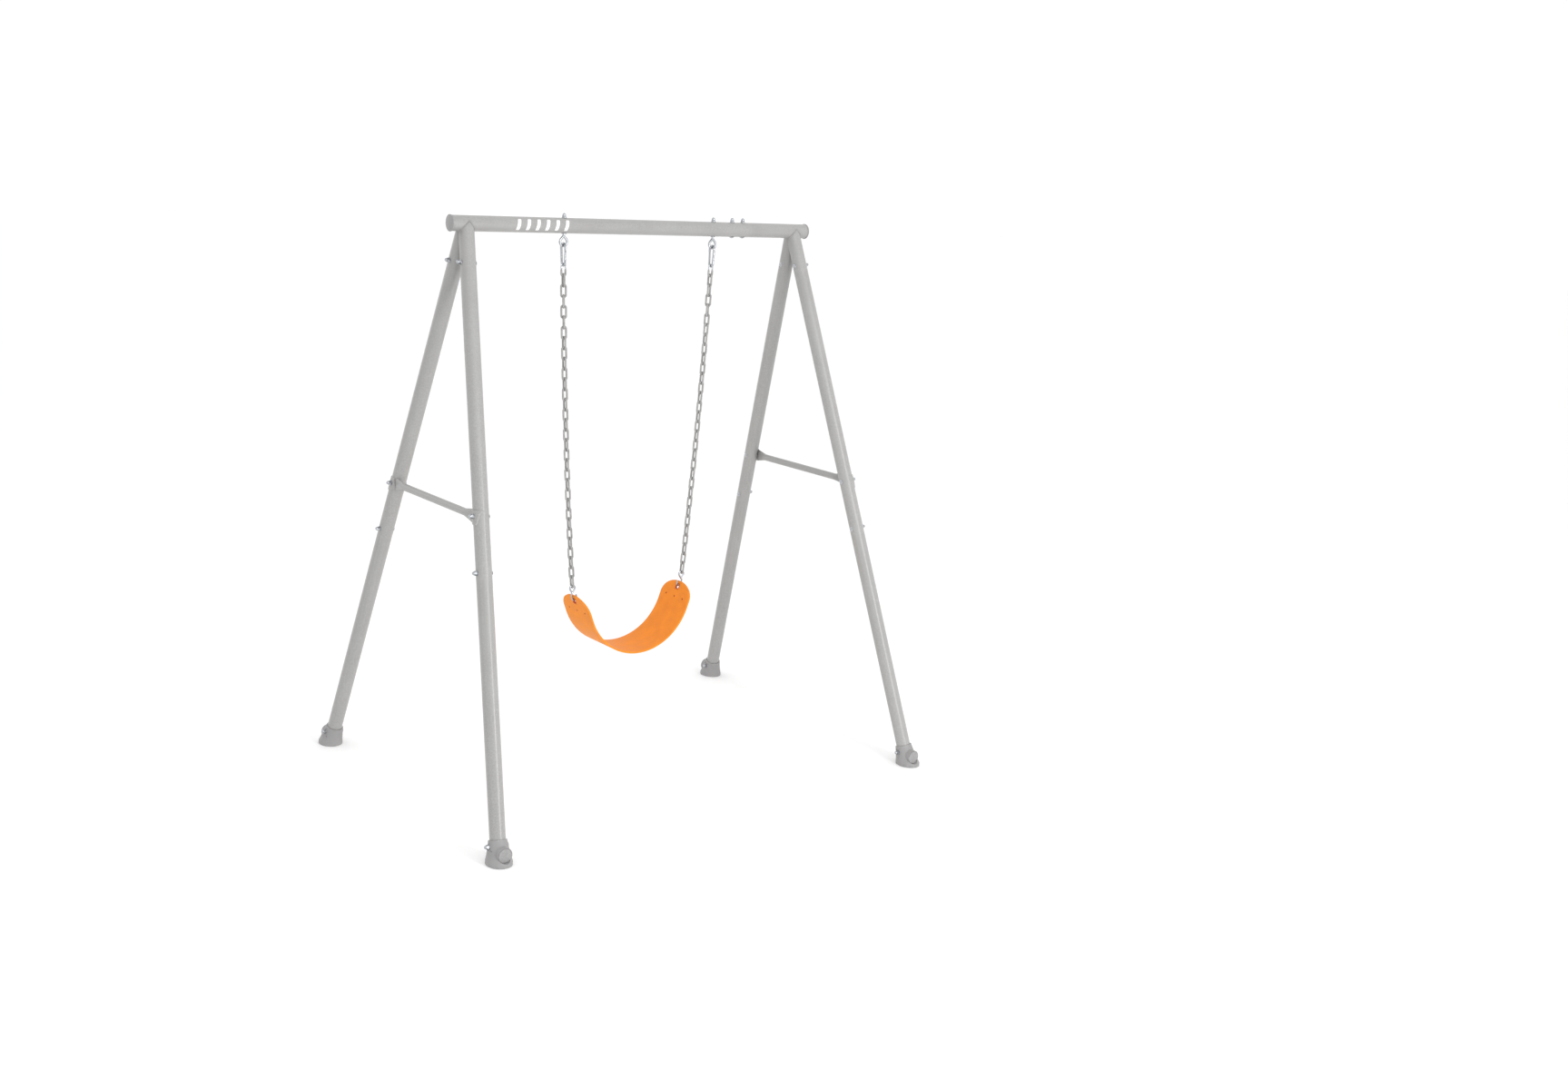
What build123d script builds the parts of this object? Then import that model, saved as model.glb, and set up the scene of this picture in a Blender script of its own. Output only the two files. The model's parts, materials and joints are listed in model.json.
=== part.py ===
from build123d import *
import math
import os

# A swing set: one belt swing on two chains under an A-frame of bolted steel tube.
# Millimetres, +Z up, +X along the beam, origin on the floor under the middle of the beam.

# --- driving sizes of the frame ---
BEAM_HEIGHT = 1900.0          # floor to the beam's axis
BEAM_LENGTH = 1440.0          # tube only, both sections together
TUBE_RADIUS = 25.4
TUBE_WALL = 1.5
FOOT_SPACING = 1240.0         # front to back, between leg axes on the floor
LEG_SPLAY = 190.0             # how far each foot stands outside the top of its leg
SOCKET_INSET = 55.0           # end of the beam tube to where the leg axes meet it
SOCKET_LENGTH = 155.0         # beam axis to the open end of a socket, along the leg
SPLICE_PLACE = 1140.0         # beam axis to the seam between upper and lower leg
SPIGOT_LENGTH = 55.0          # swaged end that slips into the next tube
SPIGOT_CLEARANCE = 0.2        # radial
SHOULDER = 3.0                # step between a tube and its swaged end
SEAM_TO_BOLT = 27.0           # each seam to the bolt that holds it
BRACE_PLACE = 935.0           # beam axis to the brace bolt, along the leg
BEAM_BOLT_SPACING = 47.0
EYE_TO_BOLT = 83.0            # right eyebolt to the nearer bolt of the beam's joint

# --- fasteners ---
BOLT_RADIUS = 4.0
HOLE_CLEARANCE = 0.3
THREAD_CLEARANCE = 0.05
HEAD_RADIUS = 9.0
HEAD_HEIGHT = 4.5
NUT_ACROSS_FLATS = 13.0
NUT_HEX_HEIGHT = 6.5
NUT_DOME_RADIUS = 6.0
NUT_DOME_CENTRE = 8.0
NUT_DEPTH = 11.0
THREAD_END_GAP = 1.0          # end of a thread to the roof inside its nut
WASHER_RADIUS = 8.5
WASHER_THICKNESS = 1.6

# --- end caps ---
CAP_RIM_LIP = 1.6             # rim outside the tube
CAP_RIM_THICKNESS = 2.5
CAP_DOME_HEIGHT = 4.5
CAP_PLUG_LENGTH = 16.0
CAP_PLUG_WALL = 2.5
CAP_PLUG_CLEARANCE = 0.2

# --- braces ---
BRACE_RADIUS = 12.0
BRACE_WALL = 1.5
BRACE_TAB_THICKNESS = 3.0
BRACE_TAB_HEIGHT = 46.0
BRACE_TAB_REACH = 20.0        # bolt to the tab's free end
BRACE_TAB_WRAP = 45.0         # degrees round the leg where the tab leaves it
BRACE_TAB_SWELL = 0.15        # taper's thin end beyond the tab's face
BRACE_TAPER = 60.0            # length of the flattened stretch
BRACE_INSET = 12.4            # brace axis inside the leg's outer wall

# --- feet ---
FOOT_FLARE_X = 15.6           # leg's wall to the sole's edge
FOOT_FLARE_Y = 21.6
FOOT_RIM_HEIGHT = 9.0
FOOT_COLLAR_HEIGHT = 68.0
FOOT_COLLAR_WALL = 4.0
FOOT_SHOULDER_HEIGHT = 42.0
FOOT_SHOULDER_WALL = 8.6
FOOT_FLOOR = 8.0              # plastic under the leg's lower end
FOOT_CLEARANCE = 0.2
FOOT_BOLT_HEIGHT = 50.0
FOOT_PAD_RADIUS = 10.5        # flat spot under bolt head and washer
FOOT_PAD_PROUD = 6.6          # leg's wall to that flat spot
FOOT_BOSS_RADIUS = 25.0
FOOT_BOSS_HEIGHT = 35.0
FOOT_BOSS_PROUD = 17.6        # leg's wall to the boss's face
FOOT_DISC_RADIUS = 22.5
FOOT_DISC_THICKNESS = 3.0
FOOT_DISC_PROUD = 1.0
FOOT_DISC_GAP = 1.0           # groove round the disc
FOOT_SLOT_WIDTH = 4.0
FOOT_SLOT_LENGTH = 15.0
FOOT_SLOT_DEPTH = 5.0

# --- hangers ---
EYE_SPACING = 610.0
EYE_WIRE_RADIUS = 4.0
EYE_RING_RADIUS = 13.5        # to the middle of the wire
EYE_NECK_LENGTH = 6.0         # washer under the beam to the point where the ring starts
EYE_RING_DEPTH = 20.0         # that point to the middle of the ring
EYE_NECK_SWELL = 0.6          # ball at the neck, outside the wire

# --- snap hooks ---
SNAP_WIRE_RADIUS = 4.0
SNAP_LENGTH = 72.0            # middle of the wire, end to end
SNAP_TOP_RADIUS = 13.0
SNAP_BOTTOM_RADIUS = 10.0
SNAP_GATE_RADIUS = 3.4
SNAP_GATE_LENGTH = 37.0
SNAP_GATE_START = 4.2         # gate pin above the bottom bend
SNAP_TONGUE = 3.0             # thickness of the flattened ends
SNAP_TONGUE_REACH = 5.0
SNAP_TONGUE_ROOT = 2.0        # tongue inside the hook's wire
SNAP_SLOT = 3.7               # slots in the gate that take the tongues
SNAP_PIN_RADIUS = 1.25
SNAP_PIN_CLEARANCE = 0.05
SNAP_END_GAP = 0.6            # between gate and hook body, both ends

# --- chain ---
LINK_COUNT = 32
LINKS_PER_LENGTH = 8
LINK_PITCH = 35.0             # inside length of a link
LINK_SIDE_PLAY = 2.1          # of one link's wire across the opening of the next
COATED_RADIUS = 3.4           # steel and its plastic coat
BARE_RADIUS = 2.5             # where the first link is left bare
LINK_GAP = 0.12
HINGE_GAP = 0.3
CHAIN_LEAN = 3.5              # degrees, each chain runs in towards the seat
CHAIN_BEND = 3.6              # degrees it turns from top to bottom
CHAIN_TWIST = 40.0            # degrees, slack twist in the first length

# --- S-hooks ---
S_WIRE_RADIUS = 3.0
S_LENGTH = 54.0               # middle of the wire, end to end
S_LEAN = 14.0
S_LOWER_RADIUS = 9.0
S_UPPER_RADIUS = 10.0
S_SPINE_TOP = 20.0
S_BEND_RADIUS = 8.0
S_BEND_ANGLE = 50.0
S_TIP_HEIGHT = 17.0
S_CLOSING_LENGTH = 13.0
S_CLOSING_LEAN = 20.0

# --- seat ---
SEAT_HALF_LENGTH = 342.0      # along the belt
SEAT_WIDTH = 175.0
SEAT_THICKNESS = 6.0
SEAT_END_SLOPE = 70.0         # degrees above level
SEAT_END_ROUND = 58.0         # length of the rounded end
SEAT_HOLE_RADIUS = 8.5
SEAT_HOLE_EDGE = 21.5         # belt end to the middle of the hole
SEAT_HOLE_SLACK = 1.8         # S-hook's wire to the top of the hole
SEAT_DOT_RADIUS = 2.2
SEAT_DOT_SPACING = 51.0
SEAT_DOT_EDGE = 59.0          # belt end to the row of pin marks
INSERT_WIDTH = 122.0
INSERT_LENGTH = 53.0
INSERT_THICKNESS = 1.5
INSERT_EDGE = 11.0            # belt end to insert
INSERT_CORNER = 24.0

# --- worked out from the above ---
LEG_X = BEAM_LENGTH / 2 - SOCKET_INSET
BORE_RADIUS = TUBE_RADIUS - TUBE_WALL
SPIGOT_RADIUS = BORE_RADIUS - SPIGOT_CLEARANCE
CAP_RIM_RADIUS = TUBE_RADIUS + CAP_RIM_LIP
BRACE_OFFSET = TUBE_RADIUS - BRACE_INSET        # brace axis outside the leg's axis
FOOT_BASE_X = TUBE_RADIUS + FOOT_FLARE_X        # half axes of the sole
FOOT_BASE_Y = TUBE_RADIUS + FOOT_FLARE_Y
FOOT_SHOULDER_RADIUS = TUBE_RADIUS + FOOT_SHOULDER_WALL
FOOT_PAD_REACH = TUBE_RADIUS + FOOT_PAD_PROUD
FOOT_BOSS_REACH = TUBE_RADIUS + FOOT_BOSS_PROUD
HOLE_RADIUS = BOLT_RADIUS + HOLE_CLEARANCE
LEG_DROP = Vector(LEG_SPLAY, FOOT_SPACING / 2, BEAM_HEIGHT).length
EYE_X = EYE_SPACING / 2
BEAM_JOINT_BOLTS = (EYE_X + EYE_TO_BOLT, EYE_X + EYE_TO_BOLT + BEAM_BOLT_SPACING)
BEAM_SEAM = BEAM_JOINT_BOLTS[-1] + SEAM_TO_BOLT     # x of the seam
EYE_NECK_DROP = TUBE_RADIUS + WASHER_THICKNESS + EYE_NECK_LENGTH
EYE_RING_DROP = EYE_NECK_DROP + EYE_RING_DEPTH
EYE_WIRE_Z = BEAM_HEIGHT - EYE_RING_DROP - EYE_RING_RADIUS
LINK_WIDTH = 6 * COATED_RADIUS + LINK_SIDE_PLAY     # outside: two wires and the opening
LINK_END_RADIUS = LINK_WIDTH / 2 - COATED_RADIUS
LINK_REACH = LINK_PITCH / 2 + COATED_RADIUS     # link centre to the middle of its end wire
SEAT_HOLE_DROP = SEAT_HOLE_RADIUS - S_WIRE_RADIUS - SEAT_HOLE_SLACK     # hole centre below the wire
SIDES = {"left": -1, "right": 1}
FACES = {"front": -1, "back": 1}


def rod(points_path, start, heading, radius):
    """A round bar along a path that starts at start, going towards heading."""
    section = Plane(origin=start, z_dir=heading) * Circle(radius)
    return sweep(section, path=points_path)


def save(node, *shapes):
    """Write every solid of the shapes to one STEP file."""
    solids = [solid for shape in shapes for solid in shape.solids()]
    whole = solids[0] if len(solids) == 1 else Compound(children=solids)
    export_step(whole, f"parts/{node}.step")


# --- fasteners ---

def carriage_bolt(grip):
    """Domed bolt: the head's underside at z = 0, the shank up through the grip."""
    dome_radius = (HEAD_RADIUS ** 2 + HEAD_HEIGHT ** 2) / (2 * HEAD_HEIGHT)
    dome = Pos(0, 0, dome_radius - HEAD_HEIGHT) * Sphere(dome_radius)
    head = dome & Pos(0, 0, -HEAD_HEIGHT / 2) * Cylinder(2 * HEAD_RADIUS, HEAD_HEIGHT)
    length = grip + NUT_DEPTH - THREAD_END_GAP
    return head + Pos(0, 0, length / 2) * Cylinder(BOLT_RADIUS, length)


def cap_nut():
    """Hexagon nut closed by a dome, seated at z = 0."""
    hexagon = extrude(RegularPolygon(NUT_ACROSS_FLATS / 2, 6, major_radius=False), NUT_HEX_HEIGHT)
    neck = Pos(0, 0, NUT_DOME_CENTRE / 2) * Cylinder(NUT_DOME_RADIUS, NUT_DOME_CENTRE)
    dome = Pos(0, 0, NUT_DOME_CENTRE) * Sphere(NUT_DOME_RADIUS)
    thread = Pos(0, 0, NUT_DEPTH / 2) * Cylinder(BOLT_RADIUS + THREAD_CLEARANCE, NUT_DEPTH)
    above = Pos(0, 0, NUT_DOME_CENTRE) * Box(2 * NUT_ACROSS_FLATS, 2 * NUT_ACROSS_FLATS, 2 * NUT_DOME_CENTRE)
    return ((hexagon + neck + dome) & above) - thread


def washer():
    ring = Cylinder(WASHER_RADIUS, WASHER_THICKNESS) - Cylinder(HOLE_RADIUS, WASHER_THICKNESS)
    return Pos(0, 0, WASHER_THICKNESS / 2) * ring


def fasten(place, head_reach, nut_reach):
    """Bolt, washer and nut about a place whose z axis points to the nut."""
    bolt = place * Pos(0, 0, -head_reach) * carriage_bolt(head_reach + nut_reach + WASHER_THICKNESS)
    ring = place * Pos(0, 0, nut_reach) * washer()
    nut = place * Pos(0, 0, nut_reach + WASHER_THICKNESS) * cap_nut()
    return bolt, ring, nut


# --- beam and legs ---

def leg_frame(side, face):
    """Where a leg axis meets the beam axis: z up the leg, x away from the swing."""
    up = Vector(-side * LEG_SPLAY, -face * FOOT_SPACING / 2, BEAM_HEIGHT).normalized()
    away = Vector(side, 0, 0)
    away = (away - up * away.dot(up)).normalized()
    return Location(Plane(origin=(side * LEG_X, 0, BEAM_HEIGHT), x_dir=away, z_dir=up))


def leg_bolt_place(side, face, drop):
    """Centre of a bolt hole across a leg, z axis towards the outer side of the frame."""
    return leg_frame(side, face) * Pos(0, 0, -drop) * Rot(0, 90, 0)


def cross_hole(length=4 * TUBE_RADIUS):
    return Cylinder(HOLE_RADIUS, length)


def leg_rod(side, face, radius, near, far):
    """A round bar on a leg's axis between two distances below the beam axis."""
    length = far - near
    return leg_frame(side, face) * Pos(0, 0, -near - length / 2) * Cylinder(radius, length)


def swaged_tube(length):
    """Tube whose top end steps down to a spigot; seam at z = 0, tube below, spigot above."""
    inner = SPIGOT_RADIUS - TUBE_WALL
    body = Pos(0, 0, -length / 2) * Cylinder(TUBE_RADIUS, length)
    spigot = Pos(0, 0, SPIGOT_LENGTH / 2) * Cylinder(SPIGOT_RADIUS, SPIGOT_LENGTH)
    throat = Pos(0, 0, (SPIGOT_LENGTH - SHOULDER) / 2) * Cylinder(inner, SPIGOT_LENGTH + SHOULDER)
    bore_length = length - SHOULDER
    bore = Pos(0, 0, -SHOULDER - bore_length / 2) * Cylinder(BORE_RADIUS, bore_length)
    return body + spigot - throat - bore


def x_rod(radius, start, end):
    """A round bar on the beam axis between two x values."""
    return Pos((start + end) / 2, 0, BEAM_HEIGHT) * Rot(0, 90, 0) * Cylinder(radius, end - start)


def beam_section(side, outer, bore):
    """One beam tube with the two leg sockets welded under its end."""
    whole = outer
    hollow = bore
    for face in FACES.values():
        whole += leg_rod(side, face, TUBE_RADIUS, 0, SOCKET_LENGTH)
        socket_bore = leg_rod(side, face, BORE_RADIUS, 0, SOCKET_LENGTH)
        hollow += socket_bore - outer
    whole -= hollow
    for face in FACES.values():
        whole -= leg_bolt_place(side, face, SOCKET_LENGTH - SEAM_TO_BOLT) * cross_hole()
    return whole


def beam_hole(x):
    return Pos(x, 0, BEAM_HEIGHT) * cross_hole()


def beam_long():
    end = -BEAM_LENGTH / 2
    tube = x_rod(TUBE_RADIUS, end, BEAM_SEAM)
    section = beam_section(SIDES["left"], tube, x_rod(BORE_RADIUS, end, BEAM_SEAM))
    for x in (-EYE_X, EYE_X, *BEAM_JOINT_BOLTS):
        section -= beam_hole(x)
    return section


def beam_short():
    end = BEAM_LENGTH / 2
    spigot_end = BEAM_SEAM - BEAM_BOLT_SPACING - SPIGOT_LENGTH
    inner = SPIGOT_RADIUS - TUBE_WALL
    tube = x_rod(TUBE_RADIUS, BEAM_SEAM, end)
    bore = x_rod(BORE_RADIUS, BEAM_SEAM + SHOULDER, end)
    section = beam_section(SIDES["right"], tube, bore)
    section += x_rod(SPIGOT_RADIUS, spigot_end, BEAM_SEAM)
    section -= x_rod(inner, spigot_end, BEAM_SEAM + SHOULDER)
    for x in BEAM_JOINT_BOLTS:
        section -= beam_hole(x)
    return section


def beam_cap():
    """Plug for a beam end: rim and shallow dome outside, hollow plug inside, opening down -z."""
    dome_radius = (CAP_RIM_RADIUS ** 2 + CAP_DOME_HEIGHT ** 2) / (2 * CAP_DOME_HEIGHT)
    ball = Pos(0, 0, CAP_RIM_THICKNESS + CAP_DOME_HEIGHT - dome_radius) * Sphere(dome_radius)
    rim_height = CAP_RIM_THICKNESS + CAP_DOME_HEIGHT
    rim = Pos(0, 0, rim_height / 2) * Cylinder(CAP_RIM_RADIUS, rim_height) & ball
    plug_radius = BORE_RADIUS - CAP_PLUG_CLEARANCE
    plug = Cylinder(plug_radius, CAP_PLUG_LENGTH)
    plug -= Cylinder(plug_radius - CAP_PLUG_WALL, CAP_PLUG_LENGTH)
    return rim + Pos(0, 0, -CAP_PLUG_LENGTH / 2) * plug


def leg_upper(side, face):
    tube = leg_frame(side, face) * Pos(0, 0, -SOCKET_LENGTH) * swaged_tube(SPLICE_PLACE - SOCKET_LENGTH)
    for drop in (SOCKET_LENGTH - SEAM_TO_BOLT, BRACE_PLACE, SPLICE_PLACE - SEAM_TO_BOLT):
        tube -= leg_bolt_place(side, face, drop) * cross_hole()
    return tube


def leg_end_drop():
    """Distance down the leg to its lower end, which stands on the shoe's inner floor."""
    slope = BEAM_HEIGHT / LEG_DROP
    return LEG_DROP - (FOOT_FLOOR + TUBE_RADIUS * math.sqrt(1 - slope ** 2)) / slope


def foot_bolt_drop():
    return LEG_DROP * (1 - FOOT_BOLT_HEIGHT / BEAM_HEIGHT)


def leg_lower(side, face):
    tube = leg_frame(side, face) * Pos(0, 0, -SPLICE_PLACE) * swaged_tube(leg_end_drop() - SPLICE_PLACE)
    for drop in (SPLICE_PLACE - SEAM_TO_BOLT, foot_bolt_drop()):
        tube -= leg_bolt_place(side, face, drop) * cross_hole()
    return tube


# --- feet ---

def foot_boss_place(side, face):
    """Frame of the round boss on a shoe's outer face, z axis outwards from the shoe."""
    share = FOOT_BOSS_HEIGHT / BEAM_HEIGHT
    foot = Vector(side * (LEG_X + LEG_SPLAY), face * FOOT_SPACING / 2, 0)
    top = Vector(side * LEG_X, 0, BEAM_HEIGHT)
    centre = foot + (top - foot) * share
    return Location(Plane(origin=centre, x_dir=(1, 0, 0), z_dir=(0, face, 0)))


def foot_bolt_place(side, face):
    """Centre of the shoe's bolt, z axis towards its nut, which faces -X on every shoe."""
    turn = 90 if side < 0 else -90
    return leg_frame(side, face) * Pos(0, 0, -foot_bolt_drop()) * Rot(0, turn, 0)


def foot_shoe(side, face):
    base = Pos(side * (LEG_X + LEG_SPLAY), face * FOOT_SPACING / 2, 0)
    sole = base * Ellipse(FOOT_BASE_X, FOOT_BASE_Y)
    rim = base * Pos(0, 0, FOOT_RIM_HEIGHT) * Ellipse(FOOT_BASE_X, FOOT_BASE_Y)
    leg = leg_frame(side, face)
    shoulder_drop = LEG_DROP * (1 - FOOT_SHOULDER_HEIGHT / BEAM_HEIGHT)
    collar_drop = LEG_DROP * (1 - FOOT_COLLAR_HEIGHT / BEAM_HEIGHT)
    shoulder = leg * Pos(0, 0, -shoulder_drop) * Circle(FOOT_SHOULDER_RADIUS)
    collar = leg * Pos(0, 0, -collar_drop) * Circle(TUBE_RADIUS + FOOT_COLLAR_WALL)
    shoe = extrude(sole, FOOT_RIM_HEIGHT) + loft([rim, shoulder, collar])
    boss_place = foot_boss_place(side, face)
    boss = boss_place * Pos(0, 0, FOOT_BOSS_REACH / 2) * Cylinder(FOOT_BOSS_RADIUS, FOOT_BOSS_REACH)
    shoe += boss
    bolt = foot_bolt_place(side, face)
    pad_depth = FOOT_SHOULDER_RADIUS
    for turn in (0, 180):
        pad = Pos(0, 0, FOOT_PAD_REACH / 2) * Cylinder(FOOT_PAD_RADIUS, FOOT_PAD_REACH)
        spot = Pos(0, 0, FOOT_PAD_REACH + pad_depth / 2) * Cylinder(FOOT_PAD_RADIUS, pad_depth)
        shoe += bolt * Rot(turn, 0, 0) * pad
        shoe -= bolt * Rot(turn, 0, 0) * spot
    shoe -= bolt * cross_hole()
    shoe -= leg_rod(side, face, TUBE_RADIUS + FOOT_CLEARANCE, collar_drop - FOOT_COLLAR_HEIGHT, leg_end_drop())
    recess_floor = FOOT_BOSS_REACH + FOOT_DISC_PROUD - FOOT_DISC_THICKNESS
    recess = Cylinder(FOOT_DISC_RADIUS + FOOT_DISC_GAP, FOOT_BOSS_RADIUS)
    shoe -= boss_place * Pos(0, 0, recess_floor + FOOT_BOSS_RADIUS / 2) * recess
    slot_box = Box(FOOT_SLOT_LENGTH, FOOT_SLOT_WIDTH, FOOT_SLOT_DEPTH)
    slot = bolt * Pos(0, 0, FOOT_PAD_REACH - FOOT_SLOT_DEPTH / 2) * Rot(0, 0, 45)
    shoe -= slot * Pos(FOOT_PAD_RADIUS + FOOT_SLOT_LENGTH / 4, 0, 0) * slot_box
    return shoe


def foot_disc(side, face):
    level = FOOT_BOSS_REACH + FOOT_DISC_PROUD - FOOT_DISC_THICKNESS / 2
    return foot_boss_place(side, face) * Pos(0, 0, level) * Cylinder(FOOT_DISC_RADIUS, FOOT_DISC_THICKNESS)


# --- braces ---

def brace_point(side, face):
    """Centre of a leg at the height of its brace bolt."""
    return (leg_frame(side, face) * Pos(0, 0, -BRACE_PLACE)).position


def brace_tab(side, face):
    """The flattened end: a band of shell that hugs the outside of the leg."""
    centre = brace_point(side, face)
    near, far = BRACE_PLACE - 3 * TUBE_RADIUS, BRACE_PLACE + 3 * TUBE_RADIUS
    shell = leg_rod(side, face, TUBE_RADIUS + BRACE_TAB_THICKNESS, near, far)
    shell -= leg_rod(side, face, TUBE_RADIUS, near, far)
    wrap = math.radians(BRACE_TAB_WRAP)
    inner_end = TUBE_RADIUS * math.sin(wrap)
    reach = BRACE_TAB_REACH + inner_end
    middle = centre.Y + face * (BRACE_TAB_REACH - inner_end) / 2
    window = Pos(centre.X + side * TUBE_RADIUS, middle, centre.Z) * Box(2 * TUBE_RADIUS, reach, BRACE_TAB_HEIGHT)
    tab = shell & window
    return tab - leg_bolt_place(side, face, BRACE_PLACE) * cross_hole()


def brace_taper(side, face):
    """Where the round tube flattens to meet the tab."""
    centre = brace_point(side, face)
    wrap = math.radians(BRACE_TAB_WRAP)
    radius = TUBE_RADIUS + BRACE_TAB_THICKNESS / 2
    flat_at = Vector(centre.X + side * radius * math.cos(wrap), centre.Y - face * radius * math.sin(wrap), centre.Z)
    flat_way = Vector(-side * math.sin(wrap), -face * math.cos(wrap), 0)
    tube_at = Vector(centre.X + side * BRACE_OFFSET, centre.Y - face * BRACE_TAPER - face * inner_reach(), centre.Z)
    flat = Plane(origin=flat_at, x_dir=(0, 0, 1), z_dir=flat_way)
    across = Plane(origin=tube_at, x_dir=(0, 0, 1), z_dir=(0, -face, 0))
    return loft([flat * Ellipse(BRACE_TAB_HEIGHT / 2, BRACE_TAB_THICKNESS / 2 + BRACE_TAB_SWELL), across * Circle(BRACE_RADIUS)])


def inner_reach():
    return TUBE_RADIUS * math.sin(math.radians(BRACE_TAB_WRAP))


def brace(side):
    front = brace_point(side, FACES["front"])
    half = abs(front.Y) - BRACE_TAPER - inner_reach()
    place = Pos(front.X + side * BRACE_OFFSET, 0, front.Z) * Rot(90, 0, 0)
    whole = place * (Cylinder(BRACE_RADIUS, 2 * half) - Cylinder(BRACE_RADIUS - BRACE_WALL, 2 * half))
    for face in FACES.values():
        keep_out = leg_rod(side, face, TUBE_RADIUS, BRACE_PLACE - 4 * TUBE_RADIUS, BRACE_PLACE + 4 * TUBE_RADIUS)
        whole += brace_taper(side, face) - keep_out
        whole += brace_tab(side, face)
    return whole


# --- hangers, hooks and chain ---

def eye_bolt(side):
    """Pear-shaped eye below the beam, its shank up through the beam to a cap nut."""
    lean = math.asin(EYE_RING_RADIUS / EYE_RING_DEPTH)
    side_length = EYE_RING_DEPTH * math.cos(lean)
    start = Vector(0, 0, -EYE_NECK_DROP)
    heading = Vector(-math.sin(lean), 0, -math.cos(lean))
    first_end = start + heading * side_length
    bottom = Vector(0, 0, -EYE_RING_DROP - EYE_RING_RADIUS)
    second_start = Vector(-first_end.X, 0, first_end.Z)
    ring = rod(Line(start, first_end), start, heading, EYE_WIRE_RADIUS)
    ring += rod(ThreePointArc(first_end, bottom, second_start), first_end, heading, EYE_WIRE_RADIUS)
    ring += rod(Line(start, second_start), start, Vector(-heading.X, 0, heading.Z), EYE_WIRE_RADIUS)
    shank_top = TUBE_RADIUS + WASHER_THICKNESS + NUT_DEPTH - THREAD_END_GAP
    length = shank_top + EYE_NECK_DROP
    shank = Pos(0, 0, shank_top - length / 2) * Cylinder(BOLT_RADIUS, length)
    neck = Pos(0, 0, -EYE_NECK_DROP) * Sphere(EYE_WIRE_RADIUS + EYE_NECK_SWELL)
    return Pos(side * EYE_X, 0, BEAM_HEIGHT) * (ring + shank + neck)


def hang_frame(side, distance):
    """A point on a chain's line, measured down from the eye wire: z up the chain, x outward."""
    bend = math.radians(CHAIN_BEND)
    total = SNAP_LENGTH + LINK_COUNT * LINK_PITCH
    radius = total / bend
    start = math.radians(CHAIN_LEAN) - bend / 2
    angle = start + distance / radius
    inward = radius * (math.cos(start) - math.cos(angle))
    drop = radius * (math.sin(angle) - math.sin(start))
    origin = (side * (EYE_X - inward), 0, EYE_WIRE_Z - drop)
    up = Vector(side * math.sin(angle), 0, math.cos(angle))
    across = Vector(side * math.cos(angle), 0, -math.sin(angle))
    return Location(Plane(origin=origin, x_dir=across, z_dir=up))


SNAP_TOP_WIRE = EYE_WIRE_RADIUS + SNAP_WIRE_RADIUS + HINGE_GAP
SNAP_TOP_CENTRE = SNAP_TOP_WIRE - SNAP_TOP_RADIUS
SNAP_BOTTOM_WIRE = SNAP_TOP_WIRE - SNAP_LENGTH
SNAP_BOTTOM_CENTRE = SNAP_BOTTOM_WIRE + SNAP_BOTTOM_RADIUS
SNAP_TAPER = math.asin((SNAP_TOP_RADIUS - SNAP_BOTTOM_RADIUS) / (SNAP_TOP_CENTRE - SNAP_BOTTOM_CENTRE))
SNAP_UP = Vector(0, math.sin(SNAP_TAPER), math.cos(SNAP_TAPER))
SNAP_GATE_FOOT = Vector(0, SNAP_BOTTOM_RADIUS * math.cos(SNAP_TAPER),
                        SNAP_BOTTOM_CENTRE - SNAP_BOTTOM_RADIUS * math.sin(SNAP_TAPER)) + SNAP_UP * SNAP_GATE_START


def snap_gate_frame():
    """Frame of the gate in its hook: origin on the gate pin, z up the gate, x along the pin."""
    return Location(Plane(origin=SNAP_GATE_FOOT, x_dir=(1, 0, 0), z_dir=SNAP_UP))


def snap_body():
    """The bent wire of a snap hook in the y-z plane, open on its +y side."""
    top_right = Vector(0, SNAP_TOP_RADIUS * math.cos(SNAP_TAPER),
                       SNAP_TOP_CENTRE - SNAP_TOP_RADIUS * math.sin(SNAP_TAPER))
    bottom_right = SNAP_GATE_FOOT - SNAP_UP * SNAP_GATE_START
    top_left = Vector(0, -top_right.Y, top_right.Z)
    bottom_left = Vector(0, -bottom_right.Y, bottom_right.Z)
    nose = SNAP_GATE_FOOT + SNAP_UP * (SNAP_GATE_LENGTH + SNAP_END_GAP)
    path = Line(nose, top_right)
    path += ThreePointArc(top_right, (0, 0, SNAP_TOP_WIRE), top_left)
    path += Line(top_left, bottom_left)
    path += ThreePointArc(bottom_left, (0, 0, SNAP_BOTTOM_WIRE), bottom_right)
    wire = rod(path, nose, SNAP_UP, SNAP_WIRE_RADIUS)
    gate = snap_gate_frame()
    hinge_tongue = Pos(0, 0, (SNAP_TONGUE_REACH - 2 * SNAP_WIRE_RADIUS) / 2)
    hinge_tongue *= Box(SNAP_TONGUE, 2 * SNAP_GATE_RADIUS, SNAP_TONGUE_REACH / 2 + 2 * SNAP_WIRE_RADIUS)
    nose_level = SNAP_GATE_LENGTH + (SNAP_TONGUE_ROOT - SNAP_TONGUE_REACH) / 2
    nose_tongue = Pos(0, 0, nose_level)
    nose_tongue *= Box(SNAP_TONGUE, 2 * SNAP_GATE_RADIUS, SNAP_TONGUE_REACH + SNAP_TONGUE_ROOT)
    body = wire + gate * hinge_tongue + gate * nose_tongue
    return body - gate * Rot(0, 90, 0) * Cylinder(SNAP_PIN_RADIUS, 4 * SNAP_WIRE_RADIUS)


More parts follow.
